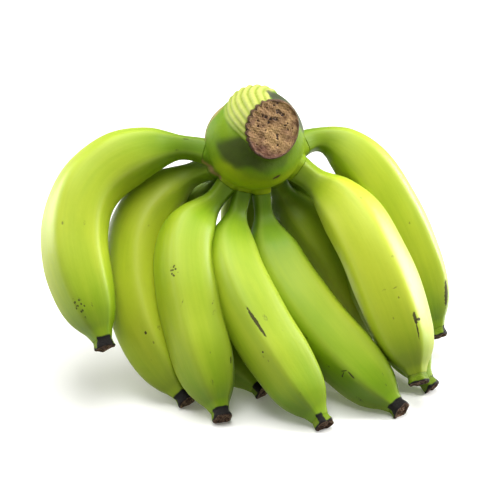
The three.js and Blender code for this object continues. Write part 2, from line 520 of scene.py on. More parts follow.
@dataclass(frozen=True)
class PeelFinish:
    """The waxy green peel of a finger.

    Args:
        light: the colour of the riper patches.
        green: the colour between them.
        deep_shade: the colour at the neck, where it is painted shade under the crown, and at the tip.
        pale: the colour of the ridges.
        brown: the colour of specks and marks.
        dried: the colour of the black end.
        patches: how many soft patches fit in a metre, across the finger twice and along it.
        streaks: the same for the fine streaks.
        mottling: the same for the mottling.
        speckled: the same for the regions that have specks.
        specks: how many specks fit in a metre.
    """

    light: Colour = srgb(190, 204, 50)
    green: Colour = srgb(126, 164, 12)
    deep_shade: Colour = srgb(82, 118, 10)
    pale: Colour = srgb(214, 222, 110)
    brown: Colour = srgb(52, 42, 24)
    dried: Colour = srgb(20, 18, 16)
    patches: Triple = (24.0, 24.0, 9.0)
    streaks: Triple = (330.0, 330.0, 14.0)
    mottling: Triple = (420.0, 420.0, 260.0)
    speckled: Triple = (60.0, 60.0, 40.0)
    specks: float = 170.0

    def build(self, finger: "Finger") -> bpy.types.Material:
        """Makes the material of one finger.

        The peel goes from green to light in soft patches and fine streaks along the finger. It is a little
        paler on the ridges, deeper green at the neck, where it is painted shade under the crown, and at the
        tip, and black at the end. Specks and marks lie on it.

        Args:
            finger: the finger, for its marks and its own pattern.

        Returns:
            The material.
        """
        shader = Shader("peel_" + finger.name)
        peel = shader.stored("peel", vector=True)
        share = shader.stored("share")
        ridge = shader.stored("ridge")
        shift = (finger.seed * 0.37, finger.seed * 0.21, 0.0)
        patch = shader.noise(shader.stretched(peel, self.patches, shift), 1.0, 3.0)
        streak = shader.noise(shader.stretched(peel, self.streaks, shift), 1.0, 3.0, 0.6)
        mottle = shader.noise(shader.stretched(peel, self.mottling, shift), 1.0, 2.0)
        ripe_and_painted_light = patch.rise(0.3, 0.72) * 0.6 + share.rise(0.08, 0.4) * 0.45 - share.rise(0.66, 0.97) * 0.45
        # Painted light and shade: each finger's whole peel is made lighter or darker by how the light falls
        # on it.
        ripe_and_painted_light = ripe_and_painted_light + finger.ripe_and_painted_light
        colour = shader.mix(ripe_and_painted_light + (streak - 0.5) * 0.4, self.green, self.light)
        colour = shader.mix(ridge * 0.12, colour, self.pale)
        # Painted shade under the crown: the peel turns deep green near the neck, further along on the fingers
        # painted darker, and a little deeper at the tip.
        crown_shade_to = 0.2 - 0.45 * min(finger.ripe_and_painted_light, 0.0)
        neck = share.rise(crown_shade_to, 0.03) * 0.55 + share.rise(0.8, 1.0) * 0.2 + (mottle - 0.5) * 0.12
        colour = shader.mix(neck, colour, self.deep_shade)
        specks = shader.cells(shader.stretched(peel, (1.0, 1.0, 0.6), shift), self.specks)
        sparse = shader.noise(shader.stretched(peel, self.speckled, shift), 1.0, 1.0)
        speck = specks.rise(0.13, 0.06) * sparse.rise(0.6, 0.7) * 0.55
        colour = shader.mix(speck, colour, self.brown)
        relief = streak * 0.5 + mottle * 0.5
        dull = shader.stored("char")
        for mark in finger.marks:
            dark, sunk = self.blemish(shader, peel, finger, mark)
            colour = shader.mix(dark, colour, self.brown)
            relief = relief - sunk
            dull = dull + dark
        colour = shader.mix(shader.stored("char"), colour, self.dried)
        return shader.finish(
            Base_Color=colour,
            Roughness=0.38 + streak * 0.12 + neck * 0.1 + dull * 0.4,
            Normal=shader.bump(relief, 0.0004, 0.4),
            Specular_IOR_Level=0.3,
            **FLESHY,
        )

    @staticmethod
    def blemish(shader: Shader, peel: Value, finger: "Finger", mark: Mark) -> tuple[Value, Value]:
        """One blemish: how dark it is and how far it is sunk, from 0 to 1.

        It is an ellipse with an uneven edge: the distance from its middle, counted in its half length and
        half width, with noise added. Specks keep only dots of it, and a scuff only its grain.

        Args:
            shader: the material under construction.
            peel: the place on the peel.
            finger: the finger that the blemish is on.
            mark: the blemish.

        Returns:
            Its darkness and its depth.
        """
        turn, lean = np.radians([mark.around, mark.turn])
        girth = finger.peel_radius
        middle = np.array([girth * np.cos(turn), girth * np.sin(turn), mark.along * finger.peel_length])
        round_way = np.array([-np.sin(turn), np.cos(turn), 0.0])
        line_way = np.array([0.0, 0.0, 1.0])
        along = (line_way * np.cos(lean) + round_way * np.sin(lean)) / (mark.length / 2.0)
        across = (round_way * np.cos(lean) - line_way * np.sin(lean)) / (mark.width / 2.0)
        wobble = (shader.noise(peel, 420.0, 3.0, 0.7) - 0.5) * 1.3
        inward = np.array([np.cos(turn), np.sin(turn), 0.0]) / (girth * 0.7)
        parts = [shader.from_middle(peel, middle, way) ** 2 for way in (along, across, inward)]
        far = (parts[0] + parts[1] + parts[2]) ** 0.5 + wobble
        inside = far.rise(1.15, 0.75)
        if mark.kind is MarkKind.SPECKS:
            dots = shader.cells(peel, 520.0).rise(0.42, 0.28)
            return inside * dots * 0.85, inside * dots * 0.3
        if mark.kind is MarkKind.SCUFF:
            grain = shader.noise(peel, 900.0, 3.0, 0.7).rise(0.42, 0.62)
            return inside * grain * 0.6, inside * grain * 0.4
        return inside * 0.92, inside * 0.8


@dataclass(frozen=True)
class Finger:
    """One finger of the hand: a ridged body round a bent line, from its neck to its blossom end.

    Args:
        number: its place in its row, from the left.
        row: the row that it grows in.
        root: where its neck leaves the crown: degrees round the fan's axis, and metres along it.
        leave: which way it leaves: degrees round the fan's axis, and degrees toward the cut.
        belly: the middle of the finger halfway along.
        tip: the middle of the finger at its blossom end.
        end: the way the blossom end points: degrees from -Y toward +X, and below the horizontal.
        girth: its thickness, next to the usual.
        neck: the thickness of its neck, next to the usual.
        ridge: degrees that its five ridges are turned by.
        marks: the blemishes on its peel.
        char: the black patch at its end: degrees round the finger of its middle, and its spread.
        ripe_and_painted_light: how much lighter its peel is than the usual, below zero for a greener one:
            painted light on a finger that stands in more light, and painted shade, below zero, on one in the
            crown's shade.
        rings: how many rings its body has.
        sides: how many points a ring has.
        peel_radius: the radius of the straight peel that its pattern is laid out on.
        peel_length: the length of that peel.
    """

    number: int
    row: Row
    root: Pair
    leave: Pair
    belly: Triple
    tip: Triple
    end: Pair
    girth: float = 1.0
    neck: float = 1.0
    ridge: float = 0.0
    marks: tuple[Mark, ...] = ()
    char: Pair = (0.0, 0.0)
    ripe_and_painted_light: float = 0.0
    rings: int = 132
    sides: int = 100
    peel_radius: float = 0.02
    peel_length: float = 0.17

    @property
    def name(self) -> str:
        """The finger's own part of its nodes' names."""
        return f"{self.row.value}_{self.number}"

    @property
    def seed(self) -> int:
        """A number of its own, for its own pattern."""
        return self.number + (20 if self.row is Row.BACK else 0)

    def line(self) -> tuple[np.ndarray, np.ndarray, np.ndarray]:
        """The finger's middle line: a curve that five points pull.

        It is the Bezier curve of degree four over the root, a point along the neck's way, a middle point, a
        point before the end, and the tip. The middle point puts its halfway point at the belly.

        Returns:
            Its places, its direction at each, and the distance along it of each.
        """
        clock, lean = np.radians(self.leave)
        start = np.array([np.cos(clock) * np.cos(lean), np.sin(clock) * np.cos(lean), np.sin(lean)])
        start = start @ FAN.axes
        end = pointing(self.end[0], -self.end[1])
        around, height = np.radians(self.root[0]), self.root[1]
        reach = np.sqrt(ROOT_REACH**2 - height**2)
        root = FAN.place(np.array([reach * np.cos(around), reach * np.sin(around), height]))
        tip, belly = np.array(self.tip), np.array(self.belly)
        neck, taper = root + start * START_PULL, tip - end * END_PULL
        middle = (16.0 * belly - root - 4.0 * neck - 4.0 * taper - tip) / 6.0
        t = np.linspace(0.0, 1.0, 600)[:, None]
        s = 1.0 - t
        places = (
            s**4 * root + 4 * s**3 * t * neck + 6 * s**2 * t**2 * middle + 4 * s * t**3 * taper + t**4 * tip
        )
        steps = np.diff(places, axis=0)
        distance = np.concatenate([[0.0], np.cumsum(np.linalg.norm(steps, axis=1))])
        return places, unit(np.gradient(places, axis=0)), distance

    @property
    def bend(self) -> np.ndarray:
        """The axis that the finger bends round."""
        _, ways, _ = self.line()
        return unit(np.cross(ways[0], ways[-1]))

    @property
    def length(self) -> float:
        """The length of the middle line."""
        return float(self.line()[2][-1])

    def skin(self, at: np.ndarray, radii: np.ndarray, angles: np.ndarray, outward: np.ndarray) -> np.ndarray:
        """Rings of points round the finger.

        Args:
            at: the distance along the finger of each ring, which may lie just beyond its ends.
            radii: the radius of each ring.
            angles: radians round the finger of each point, from the middle of its outer face.
            outward: the reach of each point next to its ring's radius, for each ring and point.

        Returns:
            An array of rings, points and coordinates, in the hand's own frame.
        """
        places, ways, distance = self.line()
        on_line = np.clip(at, 0.0, distance[-1])
        centre = np.stack([np.interp(on_line, distance, places[:, k]) for k in range(3)], -1)
        along = unit(np.stack([np.interp(on_line, distance, ways[:, k]) for k in range(3)], -1))
        outer = unit(np.cross(along, self.bend))
        across = np.cross(along, outer)
        centre = centre + along * (at - on_line)[:, None]
        turned = angles + np.radians(self.ridge)
        ring = outer[:, None] * np.cos(turned)[:, None] + across[:, None] * np.sin(turned)[:, None]
        return centre[:, None] + ring * (radii[:, None] * outward)[..., None]

    def build(self) -> bpy.types.Object:
        """Makes the finger's body, with what its material reads.

        Each ring is the ridged section, with its ridges softened, times the girth at its share of the length.
        A slow ripple swells it a little away from the ends.

        Returns:
            The body.
        """
        outline = spline_through(GIRTH, self.rings)
        share, girth = outline[:, 0], outline[:, 1] * MM
        thickness = self.neck + (self.girth - self.neck) * smoothstep(0.05, 0.25, share)
        length = self.length - BLOSSOM_LENGTH
        angles = np.linspace(0.0, 2.0 * np.pi, self.sides, endpoint=False)
        sharp = 10.0 + 4.0 * smoothstep(0.4, 0.85, share)
        reach = ridged(np.broadcast_to(angles, (self.rings, self.sides)), sharp[:, None])
        reach = 1.0 + (reach - 1.0) * (0.6 + 0.15 * smoothstep(0.5, 0.9, share))[:, None]
        rings = self.skin(share * length, girth * thickness, angles, reach)
        soft = window(share, (0.1, 0.3, 0.85, 1.0))
        swell = ripple(rings, RANDOM_SEED + self.seed, 0.045) * 0.0004 * soft[:, None]
        rings = rings + unit(rings - rings.mean(1, keepdims=True)) * swell[..., None]
        piece = closed_skin("peel_" + self.name, rings + np.array(HAND))
        turned = angles + np.radians(self.ridge)
        straight = (
            np.cos(turned) * self.peel_radius,
            np.sin(turned) * self.peel_radius,
            share[:, None] * self.peel_length,
        )
        peel = np.stack([np.broadcast_to(part, reach.shape) for part in straight], -1)
        ends = np.array([[0.0, 0.0, 0.0], [0.0, 0.0, self.peel_length]])
        give(piece, "peel", np.concatenate([peel.reshape(-1, 3), ends]))
        shares = np.broadcast_to(share[:, None], reach.shape)
        give(piece, "share", np.concatenate([shares.ravel(), [0.0, 1.0]]))
        ridge = np.clip((reach - 1.0) / (reach.max(1, keepdims=True) - 1.0), 0.0, 1.0) ** 2.0
        give(piece, "ridge", np.concatenate([ridge.ravel(), [0.0, 0.0]]))
        char = self.charred(angles, (share - 1.0) * length, rings)
        give(piece, "char", np.concatenate([char.ravel(), [0.0, 0.0]]))
        return piece

    def charred(self, angles: np.ndarray, past: np.ndarray, rings: np.ndarray) -> np.ndarray:
        """How black the peel is near the blossom end.

        Args:
            angles: radians round the finger of each point.
            past: the distance of each ring past the peel's end, below zero on the finger.
            rings: the places of the points, for an uneven edge.

        Returns:
            A value from 0 to 1 for each ring and point.
        """
        uneven = ripple(rings, RANDOM_SEED + self.seed, 0.006) * 0.0006
        reach = CHAR_REACH * self.char_patch(angles, rings)
        return smoothstep(-0.0002, 0.0006, past[:, None] + uneven + reach - CHAR_OFFSET)

    def char_patch(self, angles: np.ndarray, rings: np.ndarray) -> np.ndarray:
        """Where round the finger its end is black.

        Args:
            angles: radians round the finger of each point.
            rings: the places of the points, for an uneven edge.

        Returns:
            A value from 0 to 1 for each ring and point.
        """
        middle, spread = self.char
        off = np.abs((np.degrees(angles) + self.ridge - middle + 180.0) % 360.0 - 180.0)
        uneven = ripple(rings, RANDOM_SEED - self.seed + 40, 0.004) * 8.0
        return smoothstep(spread + 6.0, spread - 6.0, off[None] + uneven)

    def dress(self, finish: PeelFinish) -> bpy.types.Object:
        """Builds the finger, gives it its peel, and hands it over in place of its solid.

        Args:
            finish: the peel.

        Returns:
            The finished body.
        """
        piece = self.build()
        piece.data.materials.append(finish.build(self))
        stands_for(piece, "finger_" + self.name)
        return piece


@dataclass(frozen=True)
class DriedFinish:
    """The end of a finger: green peel up to a black rim, round the brown dried rest of the flower.

    Args:
        green: the peel up to the rim.
        black: the rim, and the dark grain.
        brown: the dried rest.
        tan: its paler patches.
    """

    green: Colour = srgb(112, 140, 16)
    black: Colour = srgb(22, 19, 17)
    brown: Colour = srgb(92, 66, 50)
    tan: Colour = srgb(162, 132, 104)

    def build(self) -> bpy.types.Material:
        """Makes the material that all blossom ends share.

        Returns:
            The material.
        """
        shader = Shader("dried_flower")
        place = shader.place()
        face = shader.stored("face")
        grain = shader.noise(place, 900.0, 3.0, 0.7)
        patch = shader.noise(place, 260.0, 2.0)
        dried = shader.mix(patch.rise(0.35, 0.65), self.brown, self.tan)
        dried = shader.mix(grain.rise(0.55, 0.4) * 0.8, dried, self.black)
        colour = shader.mix(patch.rise(0.6, 0.3) * 0.12, self.green, self.tan)
        colour = shader.mix(shader.stored("char"), colour, self.black)
        colour = shader.mix(face, colour, dried)
        return shader.finish(
            Base_Color=colour,
            Roughness=0.6 + grain * 0.3,
            Normal=shader.bump(grain, 0.0008, 0.7),
            Specular_IOR_Level=0.2,
        )


# A blossom end's outline: the distance past the peel's end, and the radius as a share of the peel's there.
BLOSSOM_OUTLINE = (
    (-0.0003, 0.985),
    (0.0010, 0.99),
    (0.0024, 1.02),
    (0.0038, 1.07),
    (0.0050, 1.1),
    (0.0058, 1.06),
    (0.0060, 0.95),
    (0.0057, 0.84),
    (0.0050, 0.7),
    (0.0050, 0.52),
    (0.0055, 0.34),
    (0.0060, 0.2),
    (0.0060, 0.06),
)


@dataclass(frozen=True)
class BlossomEnd:
    """The dried, ragged end of a finger, with a star of stubs round its middle.

    Args:
        finger: the finger that it ends.
        rings: how many rings it has.
        sides: how many points a ring has.
        stubs: how many points the star has.
    """

    finger: Finger
    rings: int = 56
    sides: int = 60
    stubs: int = 6

    def build(self) -> bpy.types.Object:
        """Makes the end, as rings along it and then inward over its face.

        Each ring is the ridged section times the outline's radius. Ripples make it ragged, and a cosine round
        the finger lifts the star over the face. What falls below the ground is pressed flat on it.

        Returns:
            The end.
        """
        length = self.finger.length
        nub = GIRTH[-1][1] * MM * self.finger.girth
        outline = spline_through(BLOSSOM_OUTLINE, self.rings)
        angles = np.linspace(0.0, 2.0 * np.pi, self.sides, endpoint=False)
        at = outline[:, 0] + length - BLOSSOM_LENGTH
        section = ridged(np.broadcast_to(angles, (len(outline), self.sides)), 6.0)
        rings = self.finger.skin(at, np.abs(outline[:, 1]) * nub, angles, section)
        here = np.arange(len(outline))[:, None] / (len(outline) - 1.0)
        face = smoothstep(0.38, 0.5, here + 0.03 * ripple(rings, self.finger.seed, 0.003))
        inward = smoothstep(0.46, 0.6, here)
        star = np.cos(angles * self.stubs + self.finger.seed)[None]
        _, ways, _ = self.finger.line()
        ragged = ripple(rings, RANDOM_SEED * 3 + self.finger.seed, 0.005)
        lift = star * 0.0004 * inward * (1.0 - here) * 2.0 + ragged * 0.0003 * smoothstep(0.1, 0.4, here)
        middle = rings.mean(1, keepdims=True)
        rough = 0.05 * ripple(rings, self.finger.seed + 3, 0.004) * smoothstep(0.1, 0.35, here)
        rings = middle + (rings - middle) * (1.0 + rough[..., None]) + ways[-1] * lift[..., None]
        rings[..., 2] = np.maximum(rings[..., 2], 0.0)
        piece = closed_skin("dried_end_" + self.finger.name, rings + np.array(HAND))
        give(piece, "face", np.concatenate([face.ravel(), [0.0, 1.0]]))
        char = self.finger.charred(angles, np.maximum.accumulate(outline[:, 0]) - BLACK_RIM, rings)
        patch = self.finger.char_patch(angles, rings)
        give(piece, "char", np.concatenate([np.maximum(char, patch).ravel(), [0.0, 1.0]]))
        return piece

    def dress(self, material: bpy.types.Material) -> bpy.types.Object:
        """Builds the end, gives it its finish, and hands it over in place of its solid.

        Args:
            material: the finish that all ends share.

        Returns:
            The finished end.
        """
        piece = self.build()
        piece.data.materials.append(material)
        stands_for(piece, "blossom_end_" + self.finger.name)
        return piece


# The crown's outline in millimetres: distance from the stub's axis, and height along it, from back to cut.
CROWN_OUTLINE = (
    (8.0, -30.0),
    (17.0, -27.0),
    (25.0, -21.0),
    (30.0, -13.5),
    (32.6, -4.0),
    (33.2, 2.0),
    (32.3, 7.0),
    (29.5, 12.0),
    (25.4, 16.0),
    (22.4, 20.0),
    (20.0, 24.0),
    (19.0, 28.5),
)


@dataclass(frozen=True)
class Stub:
    """The ball of the crown and the stub on it, as rings that turn to face as the slanting cut does.

    Args:
        flutes: how many flutes run up its back left.
        flute_depth: half of their depth.
        flute_foot: the degrees round the stub between which they lie at their foot.
        flute_top: the degrees between which they lie at the cut.
        foot: distance from the axis, and height along it, at their foot.
        top: distance from the axis, and height along it, at the cut.
        flat: degrees round the stub, width in degrees and depth of the flatter side of the ball.
        flat_height: the window of that side along the stub.
        turn_from: the height at which the rings begin to turn toward the cut's facing.
        fluted_sides: how many points a ring has over the flutes.
        plain_sides: how many it has over the rest.
    """

    flutes: int = 8
    flute_depth: float = 0.0013
    flute_foot: Pair = (54.0, 132.0)
    flute_top: Pair = (88.0, 200.0)
    foot: Pair = (0.0323, 0.007)
    top: Pair = (0.019, 0.0285)
    flat: Triple = (120.0, 25.0, 0.0036)
    flat_height: Window = (-0.026, -0.008, 0.010, 0.024)
    turn_from: float = 0.014
    fluted_sides: int = 192
    plain_sides: int = 112

    def part_way(self, height: np.ndarray) -> np.ndarray:
        """How far a height lies between the foot of the flutes and the cut, from 0 to 1."""
        return np.clip((height - self.foot[1]) / (self.top[1] - self.foot[1]), 0.0, 1.0)

    def edges(self, height: np.ndarray) -> tuple[np.ndarray, np.ndarray]:
        """The degrees at which the flutes begin and end at a height."""
        share = self.part_way(height)
        return tuple(low + (high - low) * share for low, high in zip(self.flute_foot, self.flute_top))

    def turned(self, height: np.ndarray) -> np.ndarray:
        """How far a ring has turned toward the cut's own facing, from 0 to 1."""
        return smoothstep(self.turn_from, self.top[1], height)

    def skin(self, outline: np.ndarray) -> np.ndarray:
        """Rings of the crown's skin.

        A ring is round but for its flatter side. Over the flutes it follows a straight slope from their foot
        to the cut, with a rounded crest and a sharp valley for each flute.

        Args:
            outline: the distance from the axis, and the height along it, of each ring.

        Returns:
            An array of rings, points and coordinates, in the hand's own frame.
        """
        radius, height = outline[:, :1], outline[:, 1:]
        begin, stop = self.edges(height)
        within = np.arange(self.fluted_sides) / self.fluted_sides
        rest = np.arange(self.plain_sides) / self.plain_sides
        clock = np.concatenate([begin + (stop - begin) * within, stop + (begin + 360.0 - stop) * rest], 1)
        inside = np.concatenate([within, 0.0 * rest])[None]
        centre, width, depth = self.flat
        flattened = window(height, self.flat_height)
        rounded = radius - flattened * depth * np.exp(-(((clock - centre) / width) ** 2))
        share = self.part_way(height)
        foot = self.foot[0] + 0.0034 - 0.0049 * inside  # it stands out more at its right
        full = foot * (1.0 - share) + self.top[0] * share
        uneven = 0.06 * np.sin(11.0 * inside + 3.0 * share)
        flute = self.flute_depth * (2.0 * np.abs(np.sin(np.pi * self.flutes * inside + uneven)) ** 0.6 - 1.0)
        fluted = smoothstep(0.001, 0.009, height) * np.sin(np.pi * inside) ** 0.5
        reach = rounded + (np.maximum(rounded, full) + flute - rounded) * fluted
        turn = np.radians(clock)
        across, up = reach * np.cos(turn), reach * np.sin(turn)
        rings = [across[..., None] * frame.axes[0] + up[..., None] * frame.axes[1] for frame in (STUB, CUT)]
        flat = rings[0] + (rings[1] - rings[0]) * self.turned(height)[..., None]
        return flat + STUB.centre + height[..., None] * STUB.axes[2]

    def read(self, places: np.ndarray) -> tuple[np.ndarray, np.ndarray]:
        """Finds where places lie on the skin, by solving for their ring over and over until it settles.

        Args:
            places: points, in the hand's own frame.

        Returns:
            The degrees round the stub, and the height along it.
        """
        height = STUB.local(places)[:, 2]
        for _ in range(10):
            turned = self.turned(height)[:, None]
            sides = [STUB.axes[k] + (CUT.axes[k] - STUB.axes[k]) * turned for k in (0, 1)]
            basis = np.stack([*sides, np.broadcast_to(STUB.axes[2], places.shape)], -1)
            across, up, found = np.linalg.solve(basis, (places - STUB.centre)[..., None])[..., 0].T
            height = (height + found) / 2.0
        return np.degrees(np.arctan2(up, across)) % 360.0, height


@dataclass(frozen=True)
class CrownFinish:
    """The green skin of the crown, with pale flutes, painted shade in the hollow under the cut, and a corky
    line.

    Args:
        green: the skin.
        bright: the skin where it is lit, and its patches.
        deep_shade: the painted shade in the hollow.
        pale: the flutes.
        valley: the grooves between them, and the fine streaks.
        grey: the stain.
        cork: the corky line.
        brown: the scratch, the rim and the specks.
    """

    green: Colour = srgb(102, 140, 12)
    bright: Colour = srgb(168, 188, 22)
    deep_shade: Colour = srgb(70, 84, 30)
    pale: Colour = srgb(184, 190, 98)
    valley: Colour = srgb(136, 156, 40)
    grey: Colour = srgb(62, 66, 48)
    cork: Colour = srgb(176, 142, 104)
    brown: Colour = srgb(74, 52, 34)

    def build(self) -> bpy.types.Material:
        """Makes the material.

        Returns:
            The material.
        """
        shader = Shader("crown_skin")
        place = shader.place()
        patch = shader.noise(place, 70.0, 3.0)
        grain = shader.noise(place, 500.0, 3.0, 0.6)
        streak = shader.noise(shader.stretched(place, (300.0, 300.0, 60.0)), 1.0, 3.0, 0.6)
        colour = shader.mix(patch.rise(0.3, 0.7) * 0.2 + shader.stored("lit"), self.green, self.bright)
        colour = shader.mix((streak - 0.4) * 0.5, colour, self.valley)
        specks = shader.cells(place, 190.0).rise(0.13, 0.06) * patch.rise(0.5, 0.65) * 0.5
        colour = shader.mix(specks, colour, self.brown)
        # painted shade in the hollow between the cut and the ball
        colour = shader.mix(shader.stored("hollow_shade") * (0.75 + patch * 0.4), colour, self.deep_shade)
        flesh = shader.mix(shader.stored("valley") * 0.8 + (streak - 0.5) * 0.7, self.pale, self.valley)
        colour = shader.mix(shader.stored("flute"), colour, flesh)
        colour = shader.mix(shader.stored("cork") * grain.rise(0.2, 0.5), colour, self.cork)
        colour = shader.mix(shader.stored("stain"), colour, self.grey)
        colour = shader.mix(shader.stored("dark") * grain.rise(0.1, 0.4), colour, self.brown)
        return shader.finish(
            Base_Color=colour,
            Roughness=0.52 + grain * 0.2,
            Normal=shader.bump(grain, 0.0005, 0.5),
            Specular_IOR_Level=0.15,
            **FLESHY,
        )


@dataclass(frozen=True)
class CrownPattern:
    """Where the crown's colours lie, in degrees round the stub and in metres along it.

    Args:
        flute_share: the window of the pale flutes, as shares of their width.
        flute_foot: the heights between which they turn pale.
        hollow_shade_round: the window of the painted shade in the hollow round the stub.
        hollow_shade_edge: the height of its lower edge at its left.
        hollow_shade_climb: how much that edge climbs, and the degrees between which it does, below the cut.
        hollow_shade_rise: the same at its right.
        lit_round: the degrees between which the bright low band begins.
        lit_height: the window of that band along the stub.
        cork_round: the window of the corky line round the stub.
        cork_width: half of its width.
        stain_before: the window of the grey stain, in degrees back from the stain's line.
        stain_line: how many degrees into the flutes that line lies.
        stain_height: the heights between which it begins.
        scratch: the middle of the brown scratch, in degrees and in metres.
        scratch_size: half of its size, in degrees and in metres.
        rim: the distances from the cut between which the brown rim begins.
    """

    flute_share: Window = (0.0, 0.04, 0.9, 1.0)
    flute_foot: Pair = (0.005, 0.009)
    hollow_shade_round: Window = (174.0, 187.0, 300.0, 345.0)
    hollow_shade_edge: float = 0.0088
    hollow_shade_climb: Triple = (0.0078, 196.0, 245.0)
    hollow_shade_rise: Triple = (0.004, 285.0, 312.0)
    lit_round: Pair = (190.0, 215.0)
    lit_height: Window = (-0.016, -0.006, 0.009, 0.016)
    cork_round: Window = (105.0, 125.0, 222.0, 245.0)
    cork_width: float = 0.0018
    stain_before: Window = (4.0, 10.0, 70.0, 82.0)
    stain_line: float = 10.0
    stain_height: Pair = (0.0085, 0.0125)
    scratch: Pair = (277.0, 0.0127)
    scratch_size: Pair = (5.5, 0.0007)
    rim: Pair = (-0.0007, -0.0002)

    def flute(self, within: np.ndarray, height: np.ndarray) -> np.ndarray:
        """How pale the flutes are, less so at their left."""
        pale = window(within, self.flute_share) * (1.0 - 0.5 * smoothstep(0.7, 0.95, within))
        return pale * smoothstep(*self.flute_foot, height)

    def hollow_shade(self, clock: np.ndarray, height: np.ndarray, uneven: np.ndarray) -> np.ndarray:
        """How dark the painted shade in the hollow under the cut is: a band above a climbing edge, weaker at
        its right.

        Args:
            clock: degrees round the stub.
            height: metres along it.
            uneven: a ripple of a few tenths of a millimetre for its edge.

        Returns:
            A value from 0 to 1 for each place.
        """
        climb, climb_from, climb_to = self.hollow_shade_climb
        rise, rise_from, rise_to = self.hollow_shade_rise
        edge = self.hollow_shade_edge + climb * smoothstep(climb_from, climb_to, clock)
        edge = edge + rise * smoothstep(rise_from, rise_to, clock)
        band = smoothstep(-0.0022, 0.0022, height - edge + uneven * 0.6)
        return band * window(clock, self.hollow_shade_round) * (1.0 - 0.45 * smoothstep(225.0, 285.0, clock))

    def lit(self, clock: np.ndarray, height: np.ndarray) -> np.ndarray:
        """How bright the low band under the hollow is, weaker at its right."""
        strength = 0.9 * (1.0 - 0.7 * smoothstep(285.0, 325.0, clock))
        return strength * window(height, self.lit_height) * smoothstep(*self.lit_round, clock)

    def cork(self, clock: np.ndarray, height: np.ndarray, uneven: np.ndarray) -> np.ndarray:
        """How corky the line round the left of the ball is: a bell over the distance from its height.

        Args:
            clock: degrees round the stub.
            height: metres along it.
            uneven: a ripple of a few tenths of a millimetre.

        Returns:
            A value from 0 to 1 for each place.
        """
        line = -0.0128 + 0.017 * smoothstep(185.0, 140.0, clock)
        bell = np.exp(-(((height - line + uneven * 0.4) / self.cork_width) ** 2))
        return bell * window(clock, self.cork_round)

    def stain(self, before: np.ndarray, height: np.ndarray) -> np.ndarray:
        """How grey the stain between the flutes and the right of the cut is."""
        return 0.95 * window(before, self.stain_before) * smoothstep(*self.stain_height, height)

    def dark(self, clock: np.ndarray, height: np.ndarray, past_cut: np.ndarray) -> np.ndarray:
        """How brown the scratch and the rim of the cut are.

        Args:
            clock: degrees round the stub.
            height: metres along it.
            past_cut: metres past the cut, with an uneven edge.

        Returns:
            A value from 0 to 1 for each place.
        """
        off = clock - self.scratch[0]
        raised = height - self.scratch[1] - off * 0.00009
        far = np.hypot(off / self.scratch_size[0], raised / self.scratch_size[1])
        return np.maximum(smoothstep(1.25, 0.8, far), 0.9 * smoothstep(*self.rim, past_cut))


